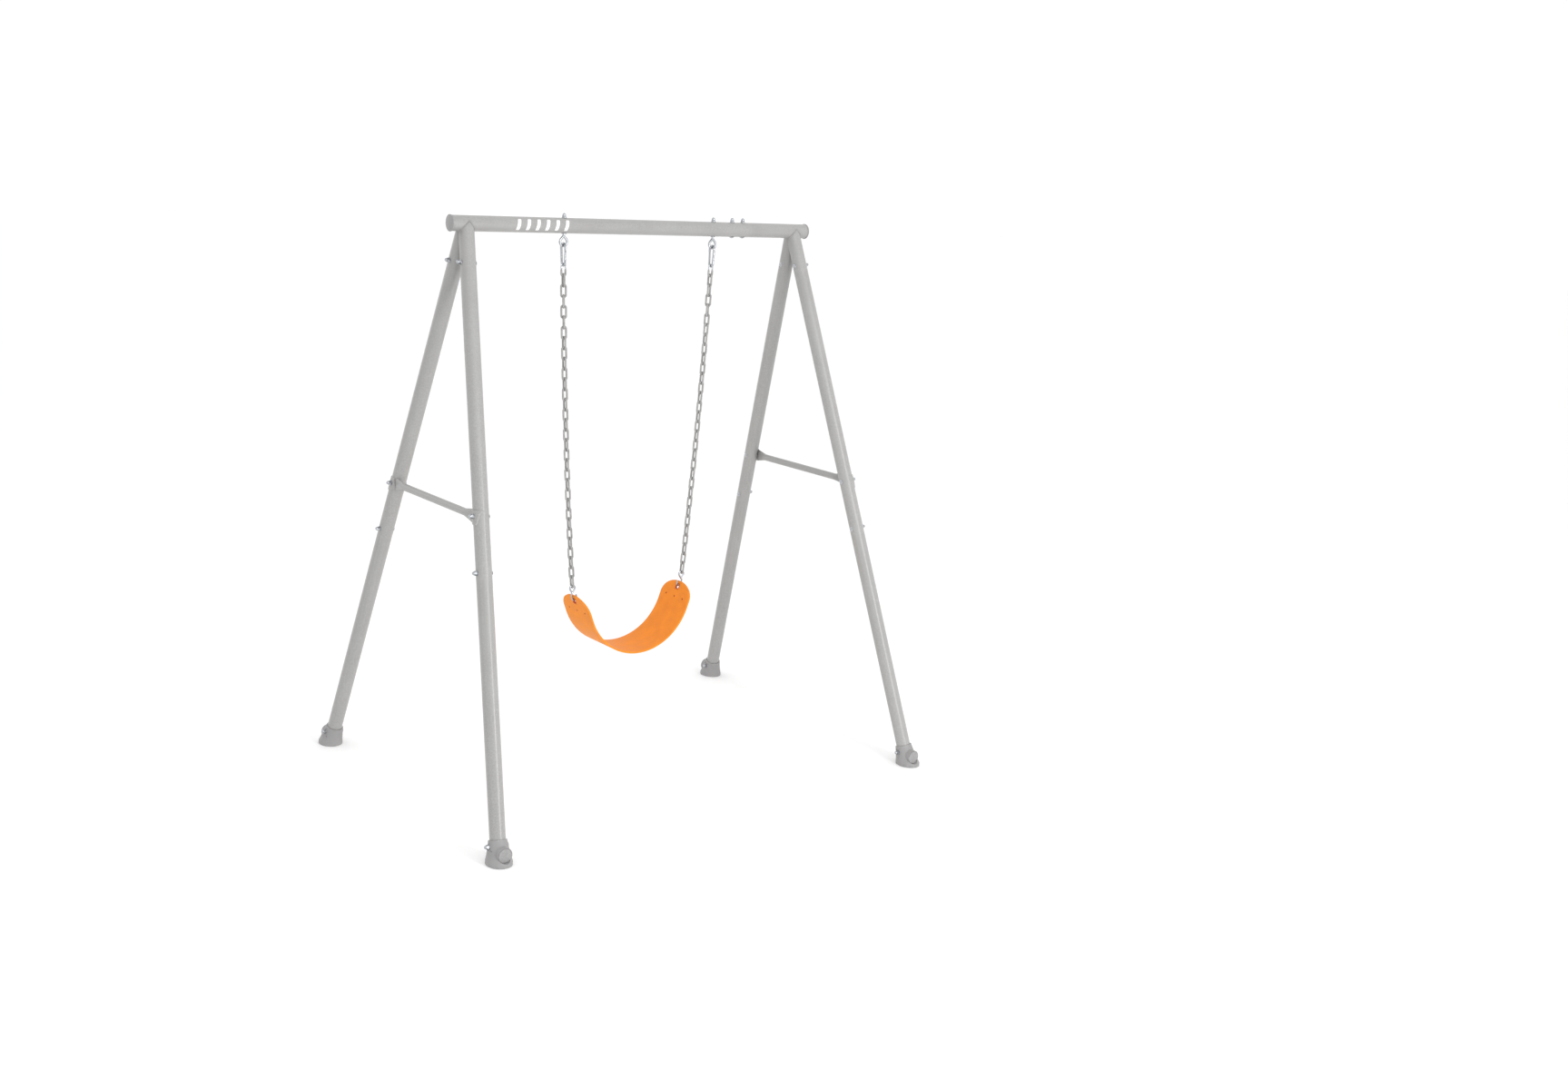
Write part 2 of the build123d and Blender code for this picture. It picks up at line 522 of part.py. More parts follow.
def snap_gate():
    barrel = Pos(0, 0, SNAP_GATE_LENGTH / 2) * Cylinder(SNAP_GATE_RADIUS, SNAP_GATE_LENGTH)
    knuckle = Rot(0, 90, 0) * Cylinder(SNAP_GATE_RADIUS, 2 * SNAP_GATE_RADIUS)
    barrel += knuckle & Cylinder(SNAP_GATE_RADIUS, 2 * SNAP_GATE_RADIUS)
    ends = Box(SNAP_SLOT, 4 * SNAP_GATE_RADIUS, 2 * (SNAP_TONGUE_REACH + SNAP_END_GAP))
    high = Pos(0, 0, SNAP_GATE_LENGTH) * ends
    pin_hole = Rot(0, 90, 0) * Cylinder(SNAP_PIN_RADIUS + SNAP_PIN_CLEARANCE, 4 * SNAP_GATE_RADIUS)
    return barrel - ends - high - pin_hole


def snap_pin():
    return Rot(0, 90, 0) * Cylinder(SNAP_PIN_RADIUS, 2 * SNAP_GATE_RADIUS)


def half_link(radius):
    """Upper half of a link in the x-z plane."""
    straight = LINK_REACH - LINK_END_RADIUS
    low_right = Vector(LINK_END_RADIUS, 0, 0)
    low_left = Vector(-LINK_END_RADIUS, 0, 0)
    lift = Vector(0, 0, straight)
    path = Line(low_right, low_right + lift)
    path += ThreePointArc(low_right + lift, (0, 0, LINK_REACH), low_left + lift)
    path += Line(low_left + lift, low_left)
    return rod(path, low_right, Vector(0, 0, 1), radius)


def link(upper_radius=COATED_RADIUS):
    return half_link(upper_radius) + Rot(0, 180, 0) * half_link(COATED_RADIUS)


def link_distances():
    """Distance of every link's centre below the eye wire."""
    first_wire = -SNAP_BOTTOM_WIRE - SNAP_WIRE_RADIUS - BARE_RADIUS - HINGE_GAP
    centres = [first_wire + LINK_REACH]
    for number in range(1, LINK_COUNT):
        gap = HINGE_GAP if number % LINKS_PER_LENGTH == 0 else LINK_GAP
        centres.append(centres[-1] + LINK_PITCH - gap)
    return centres


def link_turn(number, side):
    """Links stand crosswise to each other; the first length also holds a slack twist."""
    quarter = 90.0 * (number % 2)
    share = number / (LINKS_PER_LENGTH - 1)
    slack = CHAIN_TWIST * math.sin(math.pi * min(share, 1.0)) ** 2
    return quarter + side * slack


def chain_length(side, part):
    """Eight links of a chain, counted from 0 at the top."""
    centres = link_distances()
    coated = link()
    links = []
    for number in range(part * LINKS_PER_LENGTH, (part + 1) * LINKS_PER_LENGTH):
        shape = link(BARE_RADIUS) if number == 0 else coated
        place = hang_frame(side, centres[number]) * Rot(0, 0, link_turn(number, side))
        links.append(place * shape)
    return links


def s_hook_frame(side):
    """Frame of an S-hook: origin in the wire that carries the seat, z up, x outward."""
    last_wire = hang_frame(side, link_distances()[-1] + LINK_REACH).position
    lean = math.radians(S_LEAN)
    up = Vector(side * math.sin(lean), 0, math.cos(lean))
    top = last_wire + up * (COATED_RADIUS + S_WIRE_RADIUS + LINK_GAP)
    across = Vector(side * math.cos(lean), 0, -math.sin(lean))
    return Location(Plane(origin=top - up * S_LENGTH, x_dir=across, z_dir=up))


def s_hook():
    """Wire hook in the x-z plane: lower loop through the seat, upper loop through the chain."""
    bend = math.radians(S_BEND_ANGLE)
    rise = Vector(-math.sin(bend), 0, math.cos(bend))
    tip = Vector(-S_LOWER_RADIUS, 0, S_TIP_HEIGHT)
    low_in = Vector(-S_LOWER_RADIUS, 0, S_LOWER_RADIUS)
    low_out = Vector(S_LOWER_RADIUS, 0, S_LOWER_RADIUS)
    spine_top = Vector(S_LOWER_RADIUS, 0, S_SPINE_TOP)
    turned = Vector(S_BEND_RADIUS * (math.cos(bend) - 1), 0, S_BEND_RADIUS * math.sin(bend))
    half_turned = Vector(S_BEND_RADIUS * (math.cos(bend / 2) - 1), 0, S_BEND_RADIUS * math.sin(bend / 2))
    shift = S_LOWER_RADIUS + S_UPPER_RADIUS + 2 * turned.X
    diagonal = shift / math.sin(bend)
    first = spine_top + turned
    second = first + rise * diagonal
    third = second + turned
    third_middle = third - half_turned
    upper_in = Vector(-S_UPPER_RADIUS, 0, S_LENGTH - S_UPPER_RADIUS)
    upper_out = Vector(S_UPPER_RADIUS, 0, S_LENGTH - S_UPPER_RADIUS)
    closing = math.radians(S_CLOSING_LEAN)
    centre = Vector(0, 0, S_LENGTH - S_UPPER_RADIUS)
    closing_start = centre + Vector(math.cos(closing), 0, -math.sin(closing)) * S_UPPER_RADIUS
    closing_end = closing_start + Vector(-math.sin(closing), 0, -math.cos(closing)) * S_CLOSING_LENGTH
    path = Line(tip, low_in)
    path += ThreePointArc(low_in, (0, 0, 0), low_out)
    path += Line(low_out, spine_top)
    path += ThreePointArc(spine_top, spine_top + half_turned, first)
    path += Line(first, second)
    path += ThreePointArc(second, third_middle, third)
    path += Line(third, upper_in)
    path += ThreePointArc(upper_in, (0, 0, S_LENGTH), upper_out)
    path += ThreePointArc(upper_out, centre + Vector(math.cos(closing / 2), 0, -math.sin(closing / 2))
                          * S_UPPER_RADIUS, closing_start)
    path += Line(closing_start, closing_end)
    return rod(path, tip, Vector(0, 0, -1), S_WIRE_RADIUS)


# --- seat ---

def seat_curve():
    """Arc radius and centre height of the belt's middle surface, from where the S-hooks hold it."""
    slope = math.radians(SEAT_END_SLOPE)
    wire = s_hook_frame(SIDES["right"]).position
    hole_x = wire.X - SEAT_HOLE_DROP * math.cos(slope)
    hole_z = wire.Z - SEAT_HOLE_DROP * math.sin(slope)
    along = SEAT_HALF_LENGTH - SEAT_HOLE_EDGE
    radius = (hole_x - along * math.cos(slope)) / (math.sin(slope) - slope * math.cos(slope))
    straight = along - radius * slope
    bottom = hole_z - radius * (1 - math.cos(slope)) - straight * math.sin(slope)
    return radius, bottom, straight


def seat_end_frame(side):
    """Frame of a belt end: origin in the hole, z along the hole outwards, y up the belt."""
    slope = math.radians(SEAT_END_SLOPE)
    wire = s_hook_frame(side).position
    up = Vector(side * math.cos(slope), 0, math.sin(slope))
    out = Vector(side * math.sin(slope), 0, -math.cos(slope))
    return Location(Plane(origin=wire - up * SEAT_HOLE_DROP, x_dir=up.cross(out), z_dir=out))


def seat_insert(side):
    """The steel plate moulded into a belt end, with the hole for the S-hook."""
    level = SEAT_HOLE_EDGE - INSERT_EDGE - INSERT_LENGTH / 2
    plate = Pos(0, level) * RectangleRounded(INSERT_WIDTH, INSERT_LENGTH, INSERT_CORNER)
    solid = Pos(0, 0, -INSERT_THICKNESS / 2) * extrude(plate, INSERT_THICKNESS)
    solid -= Cylinder(SEAT_HOLE_RADIUS, 4 * SEAT_THICKNESS)
    return seat_end_frame(side) * solid


def seat_belt():
    """The belt: one arc and two straight ends, rounded, with the hole and pin marks in each end."""
    radius, bottom, straight = seat_curve()
    slope = SEAT_END_SLOPE
    left = seat_end_frame(SIDES["left"]) * Pos(0, -straight, 0) * Rot(90, 0, 0)
    arc_axis = Axis((0, 0, bottom + radius), (0, -1, 0))
    belt = revolve(left * Rectangle(SEAT_WIDTH, SEAT_THICKNESS), axis=arc_axis, revolution_arc=2 * slope)
    for side in (-1, 1):
        strip = Box(SEAT_WIDTH, straight + SEAT_HOLE_EDGE, SEAT_THICKNESS)
        belt += seat_end_frame(side) * Pos(0, (SEAT_HOLE_EDGE - straight) / 2, 0) * strip
    for side in (-1, 1):
        end = seat_end_frame(side)
        level = SEAT_HOLE_EDGE - SEAT_END_ROUND
        blank = Pos(0, level + SEAT_END_ROUND)
        blank *= Rectangle(2 * SEAT_WIDTH, 2 * SEAT_END_ROUND)
        corner_waste = blank - Pos(0, level) * Ellipse(SEAT_WIDTH / 2, SEAT_END_ROUND)
        belt -= end * extrude(corner_waste, SEAT_THICKNESS, both=True)
        belt -= end * Cylinder(SEAT_HOLE_RADIUS, 4 * SEAT_THICKNESS)
        for place in (-1, 0, 1):
            dot = Pos(place * SEAT_DOT_SPACING, SEAT_HOLE_EDGE - SEAT_DOT_EDGE, 0)
            belt -= end * dot * Cylinder(SEAT_DOT_RADIUS, 4 * SEAT_THICKNESS)
        belt -= seat_insert(side)
    return belt


# --- build every node ---

def build_frame():
    save("beam_long", beam_long())
    save("beam_short", beam_short())
    cap = beam_cap()
    for name, side in SIDES.items():
        place = Pos(side * BEAM_LENGTH / 2, 0, BEAM_HEIGHT) * Rot(0, 90 * side, 0)
        save(f"beam_cap_{name}", place * cap)
        save(f"brace_{name}", brace(side))
        save(f"eye_bolt_{name}", eye_bolt(side))
        for face_name, face in FACES.items():
            save(f"leg_upper_{face_name}_{name}", leg_upper(side, face))
            save(f"leg_lower_{face_name}_{name}", leg_lower(side, face))
            save(f"foot_{face_name}_{name}", foot_shoe(side, face))
    save("foot_discs", *[foot_disc(side, face) for side in SIDES.values() for face in FACES.values()])


def build_fasteners():
    washers = []
    legs = [(side, face) for side in SIDES.values() for face in FACES.values()]
    tab_reach = TUBE_RADIUS + BRACE_TAB_THICKNESS
    sets = {
        "socket": [(leg_bolt_place(s, f, SOCKET_LENGTH - SEAM_TO_BOLT), TUBE_RADIUS, TUBE_RADIUS) for s, f in legs],
        "splice": [(leg_bolt_place(s, f, SPLICE_PLACE - SEAM_TO_BOLT), TUBE_RADIUS, TUBE_RADIUS) for s, f in legs],
        "brace": [(leg_bolt_place(s, f, BRACE_PLACE), TUBE_RADIUS, tab_reach) for s, f in legs],
        "foot": [(foot_bolt_place(s, f), FOOT_PAD_REACH, FOOT_PAD_REACH) for s, f in legs],
        "beam": [(Pos(x, 0, BEAM_HEIGHT), TUBE_RADIUS, TUBE_RADIUS) for x in BEAM_JOINT_BOLTS],
    }
    for name, places in sets.items():
        made = [fasten(*place) for place in places]
        save(f"{name}_bolts", *[bolt for bolt, _, _ in made])
        save(f"{name}_nuts", *[nut for _, _, nut in made])
        washers += [ring for _, ring, _ in made]
    save("tube_washers", *washers)
    eye_washers, eye_nuts = [], []
    for side in SIDES.values():
        beam_top = Pos(side * EYE_X, 0, BEAM_HEIGHT + TUBE_RADIUS)
        eye_washers.append(beam_top * washer())
        eye_washers.append(Pos(side * EYE_X, 0, BEAM_HEIGHT - TUBE_RADIUS - WASHER_THICKNESS) * washer())
        eye_nuts.append(beam_top * Pos(0, 0, WASHER_THICKNESS) * cap_nut())
    save("eye_washers", *eye_washers)
    save("eye_nuts", *eye_nuts)


def build_swing():
    body, gate, pin = snap_body(), snap_gate(), snap_pin()
    wire_hook = s_hook()
    pins, inserts = [], []
    for name, side in SIDES.items():
        hook_place = hang_frame(side, 0)
        save(f"snap_hook_{name}", hook_place * body)
        save(f"snap_gate_{name}", hook_place * snap_gate_frame() * gate)
        pins.append(hook_place * snap_gate_frame() * pin)
        for part in range(LINK_COUNT // LINKS_PER_LENGTH):
            save(f"chain_{name}_{part + 1}", *chain_length(side, part))
        save(f"s_hook_{name}", s_hook_frame(side) * wire_hook)
        inserts.append(seat_insert(side))
    save("snap_pins", *pins)
    save("seat_inserts", *inserts)
    save("seat", seat_belt())


def print_hinges():
    """The places of the joints, in metres."""
    centres = link_distances()
    print("swing", 0, 0, EYE_WIRE_Z / 1000)
    for part in range(1, LINK_COUNT // LINKS_PER_LENGTH):
        top_wire = centres[part * LINKS_PER_LENGTH] - LINK_REACH
        place = hang_frame(SIDES["right"], top_wire).position / 1000
        print("chain bend", part, place)
    print("seat tilt", s_hook_frame(SIDES["right"]).position / 1000)
    for name, side in SIDES.items():
        gate = hang_frame(side, 0) * snap_gate_frame()
        x_way = (gate * Pos(1, 0, 0)).position - gate.position
        print("gate", name, gate.position / 1000, x_way)


os.makedirs("parts", exist_ok=True)
build_frame()
build_fasteners()
build_swing()
print_hinges()
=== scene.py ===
"""A belt swing on a bolted steel A-frame: finishes, moulded belt, weld beads, beam marks, stage.

Run as a script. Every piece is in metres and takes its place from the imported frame.
"""

import json
import math

import bmesh
import bpy
from mathutils import Matrix, Vector


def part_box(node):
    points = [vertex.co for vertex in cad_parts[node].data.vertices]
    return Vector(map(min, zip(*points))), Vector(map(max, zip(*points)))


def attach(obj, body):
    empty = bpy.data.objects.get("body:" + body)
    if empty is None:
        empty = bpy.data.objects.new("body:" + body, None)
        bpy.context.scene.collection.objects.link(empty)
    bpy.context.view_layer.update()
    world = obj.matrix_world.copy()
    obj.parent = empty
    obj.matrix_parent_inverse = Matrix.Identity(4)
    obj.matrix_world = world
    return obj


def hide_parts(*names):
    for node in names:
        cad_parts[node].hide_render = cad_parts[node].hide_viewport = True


bl_info = {
    "name": "Belt Swing Looks",
    "version": (1, 0, 0),
    "blender": (4, 5, 0),
    "location": "View3D > Sidebar > Swing",
    "description": "Builds the finishes and moulded pieces of a belt swing on its frame",
    "category": "Object",
}

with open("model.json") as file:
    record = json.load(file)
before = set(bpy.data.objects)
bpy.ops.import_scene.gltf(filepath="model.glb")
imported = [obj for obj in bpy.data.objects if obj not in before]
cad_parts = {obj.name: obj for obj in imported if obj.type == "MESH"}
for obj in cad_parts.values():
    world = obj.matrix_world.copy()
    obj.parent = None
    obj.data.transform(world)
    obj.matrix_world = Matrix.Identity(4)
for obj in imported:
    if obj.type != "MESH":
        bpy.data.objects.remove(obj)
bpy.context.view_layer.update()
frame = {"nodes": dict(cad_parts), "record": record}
SIDES = {"left": -1, "right": 1}
FACES = {"front": -1, "back": 1}
SIDE_NAMES = {side: name for name, side in SIDES.items()}
FACE_NAMES = {face: name for name, face in FACES.items()}

# --- fixed values, in metres ---

# belt
OUTLINE_STEPS = 96            # points round its outline
BELT_STEP = 0.007             # between the cuts across it
BELT_BANDS = 8                # bands of faces along it
HOLE_STEPS = 32
HOLE_SCORE = 1.65             # half width of the square opened for a hole, in hole radii
SCORE_SLACK = 0.05            # in hole radii, either side of that square
SHARP_ANGLE = math.radians(60)
EDGE_SEGMENTS = 3
HOLE_SHADE_REACH = 0.3               # of the edge radius that the painted shade in a hole reaches

# weld beads
BEAD_SIDES = 10
WELD_STEPS = 96
WELD_RIPPLES = 26
RIPPLE_DEPTH = 0.14
SWELL_DEPTH = 0.10

# printed bars
MARK_COUNT = 6
MARK_START = -0.487           # x of the first bar
MARK_SPACING = 0.036
MARK_WIDTH = 0.013
MARK_SLANT = 0.22
MARK_TURN = math.radians(3)
MARK_PROUD = 0.00025
MARK_BANDS = 12               # bands that let a bar follow the tube
CORNER_SEGMENTS = 4

# finishes
BARE_LENGTH = 0.0205          # how much of each chain's first link is left bare
DIP_RAGGED = 0.003            # how far the dip's edge wanders
DUST_COLOUR = (0.46, 0.455, 0.44)
# dark red painted shade inside the belt's holes and pin marks
HOLE_SHADE_COLOUR = (0.42, 0.045, 0.012)
PLATE_DARK = (0.48, 0.48, 0.49)
PLATE_LIGHT = (0.60, 0.60, 0.61)
FINISH_OF = {                 # the last match for a node counts
    "tube_powder_coat": ("beam_long", "beam_short", "leg_", "brace_left", "brace_right"),
    "cap_moulding": ("beam_cap_",),
    "shoe_moulding": ("foot_front_", "foot_back_", "foot_discs"),
    "bright_zinc": ("_bolts", "_nuts", "_washers", "eye_bolt_", "snap_", "s_hook_"),
    "dipped_chain": ("chain_",),
    "belt_moulding": ("seat",),
    "insert_plate": ("seat_inserts",),
}

# stage
FLOOR_REACH = 40.0
FLOOR_GAP = 0.0005
AIR_COLOUR = (1.0, 1.0, 1.0, 1.0)
AIR_STRENGTH = 1.06
LIGHT_TARGET = (0, 0, 1.0)
LIGHTS = (                    # name, place, width, height, watts
    ("key_light", (-1.6, -4.6, 3.6), 2.2, 2.2, 22.0),
    ("strip_light", (0.6, -4.6, 1.5), 0.25, 3.4, 75.0),
    ("back_light", (-2.6, 3.4, 3.2), 2.4, 2.4, 10.0),
)
CAMERA_PLACE = Vector((-3.227, -4.804, 2.149))
CAMERA_YAW = math.radians(39.35)
CAMERA_PITCH = math.radians(13.01)
CAMERA_ROLL = math.radians(3.31)
CAMERA_LENS = 38.1            # mm
CAMERA_SENSOR = 36.0          # mm


# --- what the frame says about itself ---

def box_centre(node):
    low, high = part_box(node)
    return (low + high) / 2


BEAM_HEIGHT = box_centre("beam_cap_left").z     # the end caps are centred on the beam's axis


# --- sizes and colours a user would change ---

class SwingSizes(bpy.types.PropertyGroup):
    """Sizes of the moulded and welded pieces."""

    belt_half_length: bpy.props.FloatProperty(
        name="Belt half length", description="Middle of the belt to its end, along the belt",
        default=0.342, unit="LENGTH")
    belt_thickness: bpy.props.FloatProperty(
        name="Belt thickness", description="Thickness of the moulded belt", default=0.006, unit="LENGTH")
    belt_slope: bpy.props.FloatProperty(
        name="Belt end slope", description="How steep the belt's straight ends stand",
        default=math.radians(70), subtype="ANGLE")
    belt_end_round: bpy.props.FloatProperty(
        name="Belt end round", description="Length of the belt's rounded end", default=0.058, unit="LENGTH")
    belt_edge_round: bpy.props.FloatProperty(
        name="Belt edge round", description="Radius moulded on every edge of the belt",
        default=0.0019, unit="LENGTH")
    hole_radius: bpy.props.FloatProperty(
        name="Hole radius", description="Hole that takes the S-hook", default=0.0085, unit="LENGTH")
    hole_edge: bpy.props.FloatProperty(
        name="Hole edge distance", description="Belt end to the middle of the hole",
        default=0.0215, unit="LENGTH")
    dot_radius: bpy.props.FloatProperty(
        name="Pin mark radius", description="Marks left by the mould's pins", default=0.0021, unit="LENGTH")
    dot_spacing: bpy.props.FloatProperty(
        name="Pin mark spacing", description="Distance between pin marks, across the belt",
        default=0.051, unit="LENGTH")
    dot_edge: bpy.props.FloatProperty(
        name="Pin mark edge distance", description="Belt end to the row of pin marks",
        default=0.059, unit="LENGTH")
    weld_radius: bpy.props.FloatProperty(
        name="Weld bead radius", description="Half width of the bead round each socket",
        default=0.0026, unit="LENGTH")
    tube_radius: bpy.props.FloatProperty(
        name="Tube radius", description="Outer radius of the frame's tubes", default=0.0254, unit="LENGTH")
    socket_place: bpy.props.FloatProperty(
        name="Socket place", description="Middle of the beam to where the leg axes meet it",
        default=0.665, unit="LENGTH")
    mark_height: bpy.props.FloatProperty(
        name="Beam mark height", description="Height of the printed bars on the beam",
        default=0.039, unit="LENGTH")


class SwingColours(bpy.types.PropertyGroup):
    """Colours of the finishes."""

    coat: bpy.props.FloatVectorProperty(
        name="Powder coat", description="Colour of the coated tubes",
        default=(0.300, 0.298, 0.292), subtype="COLOR")
    moulding: bpy.props.FloatVectorProperty(
        name="Grey moulding", description="Colour of the shoes and end caps",
        default=(0.285, 0.281, 0.281), subtype="COLOR")
    belt: bpy.props.FloatVectorProperty(
        name="Belt", description="Colour of the moulded belt", default=(0.82, 0.245, 0.012), subtype="COLOR")
    chain: bpy.props.FloatVectorProperty(
        name="Chain coat", description="Colour of the plastic that coats the chain",
        default=(0.30, 0.297, 0.292), subtype="COLOR")
    zinc: bpy.props.FloatVectorProperty(
        name="Zinc", description="Colour of the plated fasteners and hooks",
        default=(0.50, 0.515, 0.54), subtype="COLOR")
    marks: bpy.props.FloatVectorProperty(
        name="Beam marks", description="Colour of the printed bars", default=(0.9, 0.9, 0.9), subtype="COLOR")
    floor: bpy.props.FloatVectorProperty(
        name="Floor", description="Colour of the studio floor", default=(0.95, 0.95, 0.95), subtype="COLOR")


def sizes():
    return bpy.context.scene.swing_sizes


def colours():
    return bpy.context.scene.swing_colours


# --- shader groups shared by several finishes ---

def new_group(name, inputs, outputs):
    """An empty shader group with named float, colour or vector sockets."""
    group = bpy.data.node_groups.new(name, "ShaderNodeTree")
    for label, kind, default in inputs:
        socket = group.interface.new_socket(name=label, in_out="INPUT", socket_type=kind)
        if default is not None:
            socket.default_value = default
    for label, kind in outputs:
        group.interface.new_socket(name=label, in_out="OUTPUT", socket_type=kind)
    return group, group.nodes.new("NodeGroupInput"), group.nodes.new("NodeGroupOutput")


def noise(nodes, links, vector, scale, detail):
    """A noise texture on a vector socket."""
    node = nodes.new("ShaderNodeTexNoise")
    node.inputs["Scale"].default_value = scale
    node.inputs["Detail"].default_value = detail
    links.new(vector, node.inputs["Vector"])
    return node


def remap(nodes, links, value, low, high, new_low, new_high):
    """Map a value's range to another, clamped."""
    node = nodes.new("ShaderNodeMapRange")
    for name, number in (("From Min", low), ("From Max", high), ("To Min", new_low), ("To Max", new_high)):
        node.inputs[name].default_value = number
    links.new(value, node.inputs["Value"])
    return node.outputs["Result"]


def calculate(nodes, links, operation, first, second):
    """A math node on two values, each a socket or a number."""
    node = nodes.new("ShaderNodeMath")
    node.operation = operation
    for socket, value in zip(node.inputs, (first, second)):
        if isinstance(value, bpy.types.NodeSocket):
            links.new(value, socket)
        else:
            socket.default_value = value
    return node.outputs[0]


def mix_colour(nodes, links, factor, first, second):
    """Mix two colours, each a socket or a colour, by a factor socket."""
    node = nodes.new("ShaderNodeMix")
    node.data_type = "RGBA"
    links.new(factor, node.inputs["Factor"])
    for name, colour in (("A", first), ("B", second)):
        socket = next(s for s in node.inputs if s.name == name and s.type == "RGBA")
        if isinstance(colour, bpy.types.NodeSocket):
            links.new(colour, socket)
        else:
            socket.default_value = (*colour, 1.0)
    return next(s for s in node.outputs if s.type == "RGBA")


def make_grain_group():
    """Fine moulded or sprayed grain: a height and a mask of slow colour change."""
    group, start, end = new_group(
        "Fine Grain",
        [("Vector", "NodeSocketVector", None), ("Grain Scale", "NodeSocketFloat", 900.0),
         ("Patch Scale", "NodeSocketFloat", 14.0), ("Speck Scale", "NodeSocketFloat", 2600.0)],
        [("Height", "NodeSocketFloat"), ("Patches", "NodeSocketFloat"), ("Specks", "NodeSocketFloat")])
    nodes, links = group.nodes, group.links
    heights = {}
    for label, detail in (("Grain Scale", 2.0), ("Patch Scale", 4.0), ("Speck Scale", 1.0)):
        texture = noise(nodes, links, start.outputs["Vector"], 1.0, detail)
        links.new(start.outputs[label], texture.inputs["Scale"])
        heights[label] = texture.outputs["Fac"]
    links.new(heights["Grain Scale"], end.inputs["Height"])
    links.new(remap(nodes, links, heights["Patch Scale"], 0.35, 0.65, 0.0, 1.0), end.inputs["Patches"])
    links.new(remap(nodes, links, heights["Speck Scale"], 0.62, 0.72, 0.0, 1.0), end.inputs["Specks"])


def make_wear_group():
    """Convex edges rubbed through or polished: 0 in the open, 1 along an edge."""
    group, start, end = new_group(
        "Edge Wear",
        [("Vector", "NodeSocketVector", None), ("Break Up", "NodeSocketFloat", 160.0)],
        [("Mask", "NodeSocketFloat")])
    nodes, links = group.nodes, group.links
    geometry = nodes.new("ShaderNodeNewGeometry")
    edge = remap(nodes, links, geometry.outputs["Pointiness"], 0.53, 0.60, 0.0, 1.0)
    texture = noise(nodes, links, start.outputs["Vector"], 1.0, 4.0)
    links.new(start.outputs["Break Up"], texture.inputs["Scale"])
    broken = remap(nodes, links, texture.outputs["Fac"], 0.42, 0.60, 0.0, 1.0)
    links.new(calculate(nodes, links, "MULTIPLY", edge, broken), end.inputs["Mask"])


def make_dust_group():
    """Pale dust that settles in patches on faces that look up."""
    group, start, end = new_group(
        "Settled Dust",
        [("Vector", "NodeSocketVector", None), ("Amount", "NodeSocketFloat", 0.1)],
        [("Mask", "NodeSocketFloat")])
    nodes, links = group.nodes, group.links
    geometry = nodes.new("ShaderNodeNewGeometry")
    split = nodes.new("ShaderNodeSeparateXYZ")
    links.new(geometry.outputs["Normal"], split.inputs["Vector"])
    upward = remap(nodes, links, split.outputs["Z"], 0.2, 0.95, 0.0, 1.0)
    texture = noise(nodes, links, start.outputs["Vector"], 45.0, 5.0)
    patchy = remap(nodes, links, texture.outputs["Fac"], 0.4, 0.7, 0.2, 1.0)
    settled = calculate(nodes, links, "MULTIPLY", upward, patchy)
    links.new(calculate(nodes, links, "MULTIPLY", settled, start.outputs["Amount"]), end.inputs["Mask"])


# --- finishes ---

class Finish:
    """A material under construction: a Principled BSDF and the object's own coordinates."""

    def __init__(self, name, roughness, metallic=0.0, specular=0.5):
        self.material = bpy.data.materials.new(name)
        if self.material.name != name:
            raise RuntimeError(f"a material called {name} is already there")
        self.material.use_nodes = True
        self.nodes = self.material.node_tree.nodes
        self.links = self.material.node_tree.links
        self.shader = self.nodes["Principled BSDF"]
        self.shader.inputs["Roughness"].default_value = roughness
        self.shader.inputs["Metallic"].default_value = metallic
        self.shader.inputs["Specular IOR Level"].default_value = specular
        self.place = self.nodes.new("ShaderNodeTexCoord").outputs["Object"]

    def group(self, name, **values):
        """Place a shared group; a space in an input's name is an underscore here."""
        node = self.nodes.new("ShaderNodeGroup")
        node.node_tree = bpy.data.node_groups[name]
        self.links.new(self.place, node.inputs["Vector"])
        for label, number in values.items():
            node.inputs[label.replace("_", " ")].default_value = number
        return node.outputs

    def noise(self, scale, detail):
        return noise(self.nodes, self.links, self.place, scale, detail).outputs["Fac"]

    def remap(self, value, low, high, new_low, new_high):
        return remap(self.nodes, self.links, value, low, high, new_low, new_high)

    def mix(self, factor, first, second):
        return mix_colour(self.nodes, self.links, factor, first, second)

    def math(self, operation, first, second):
        return calculate(self.nodes, self.links, operation, first, second)

    def colour(self, socket):
        self.links.new(socket, self.shader.inputs["Base Color"])

    def roughness(self, socket):
        self.links.new(socket, self.shader.inputs["Roughness"])

    def metallic(self, socket):
        self.links.new(socket, self.shader.inputs["Metallic"])

    def bump(self, *layers):
        """Layers of (height socket, strength, distance in metres), stacked."""
        normal = None
        for height, strength, distance in layers:
            node = self.nodes.new("ShaderNodeBump")
            node.inputs["Strength"].default_value = strength
            node.inputs["Distance"].default_value = distance
            self.links.new(height, node.inputs["Height"])
            if normal is not None:
                self.links.new(normal, node.inputs["Normal"])
            normal = node.outputs["Normal"]
        self.links.new(normal, self.shader.inputs["Normal"])


def scaled(colour, factor):
    """A colour made lighter or darker."""
    return tuple(min(1.0, channel * factor) for channel in colour)


